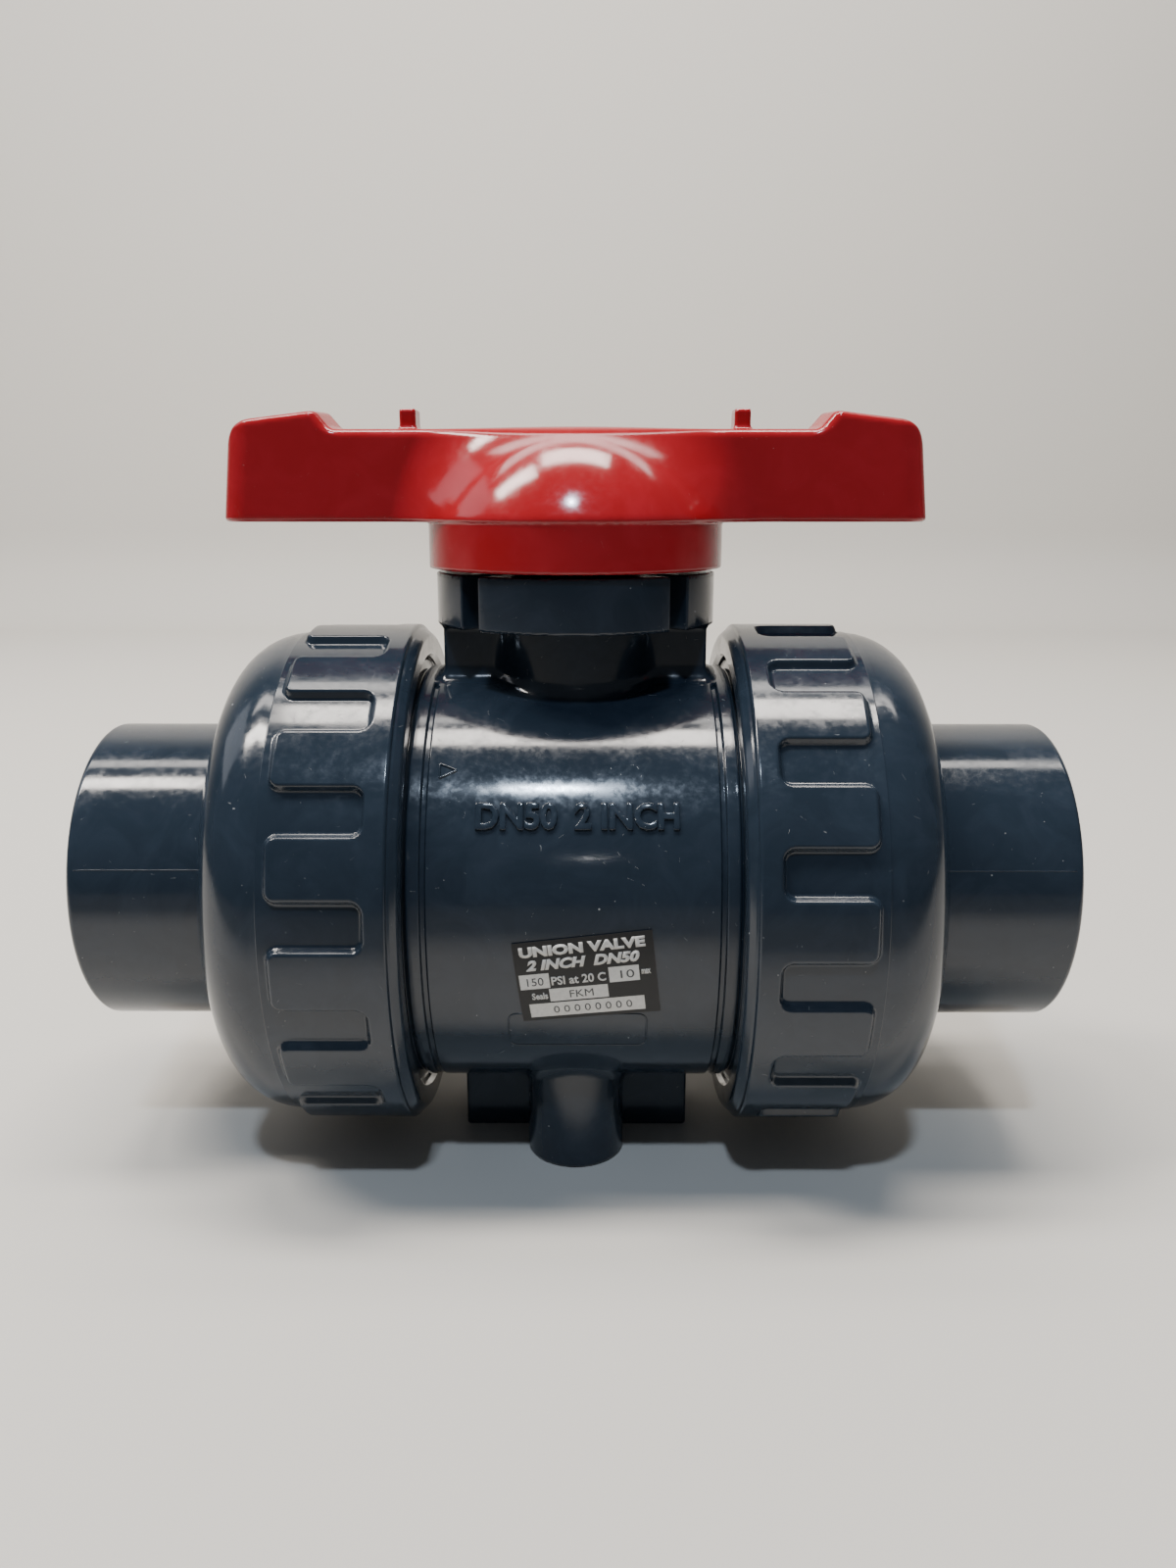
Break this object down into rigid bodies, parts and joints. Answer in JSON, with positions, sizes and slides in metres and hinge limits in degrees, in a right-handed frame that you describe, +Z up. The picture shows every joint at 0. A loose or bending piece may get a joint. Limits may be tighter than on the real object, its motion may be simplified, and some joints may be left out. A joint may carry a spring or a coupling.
{
  "type": "plastic true union ball valve",
  "caption": "Quarter turn plastic ball valve with a tee handle on a raised stem, two screwed union nuts and solvent socket ends for two inch pipe.",
  "frame": {"origin": "middle of the underside of the foot that the valve stands on, straight below the crossing of the pipe axis and the stem axis", "axes": "+X along the pipe axis to the end with the seat carrier, -Y to the front with the label, +Z up along the stem; the pipe axis is at Z 0.0665"},
  "size_m": [0.2312, 0.1238, 0.1789],
  "materials": {
    "casing": "injection moulded unplasticised PVC, dark blue grey, glossy",
    "grip": "injection moulded ABS, red, glossy",
    "ball": "machined and polished PVC ball",
    "stem": "machined PVC stem",
    "ptfe": "machined PTFE, waxy white",
    "seal": "moulded black rubber O-ring",
    "insert": "turned brass, knurled",
    "label": "printed film label with blank white fields"
  },
  "bodies": {
    "valve_body": {"body": "casing", "left_seat": "ptfe", "right_seat": "ptfe", "left_seat_cushion": "seal", "right_seat_cushion": "seal", "left_face_o_ring": "seal", "right_face_o_ring": "seal", "seat_carrier": "casing", "carrier_o_ring": "seal", "rating_label": "label", "front_base_insert": "insert", "rear_base_insert": "insert"},
    "stem": {"stem": "stem", "stem_o_ring_lower": "seal", "stem_o_ring_upper": "seal", "stem_thrust_washer": "ptfe"},
    "handle": {"handle": "grip"},
    "ball": {"ball": "ball"},
    "left_connector": {"left_end_connector": "casing"},
    "left_nut": {"left_union_nut": "casing"},
    "right_connector": {"right_end_connector": "casing"},
    "right_nut": {"right_union_nut": "casing"}
  },
  "joints": [
    {"name": "stem_turn", "type": "hinge", "parent": "valve_body", "child": "stem", "pos_m": [0, 0, 0.1417], "axis": [0, 0, 1], "range_deg": [-90, 0]},
    {"name": "ball_turn", "type": "hinge", "parent": "valve_body", "child": "ball", "pos_m": [0, 0, 0.0665], "axis": [0, 0, 1], "range_deg": [-90, 0]},
    {"name": "handle_pull", "type": "slide", "parent": "stem", "child": "handle", "axis": [0, 0, 1], "range_m": [0, 0.03]},
    {"name": "left_union_draw", "type": "slide", "parent": "valve_body", "child": "left_connector", "axis": [-1, 0, 0], "range_m": [0, 0.018]},
    {"name": "left_nut_turn", "type": "hinge", "parent": "left_connector", "child": "left_nut", "pos_m": [-0.06, 0, 0.0665], "axis": [-1, 0, 0], "range_deg": [0, 1080]},
    {"name": "right_union_draw", "type": "slide", "parent": "valve_body", "child": "right_connector", "axis": [1, 0, 0], "range_m": [0, 0.018]},
    {"name": "right_nut_turn", "type": "hinge", "parent": "right_connector", "child": "right_nut", "pos_m": [0.06, 0, 0.0665], "axis": [1, 0, 0], "range_deg": [0, 1080]}
  ],
  "couplings": [
    {"joint": "ball_turn", "follows": "stem_turn", "ratio": 1},
    {"joint": "left_union_draw", "follows": "left_nut_turn", "m_per_rad": 0.00095493},
    {"joint": "right_union_draw", "follows": "right_nut_turn", "m_per_rad": 0.00095493}
  ]
}
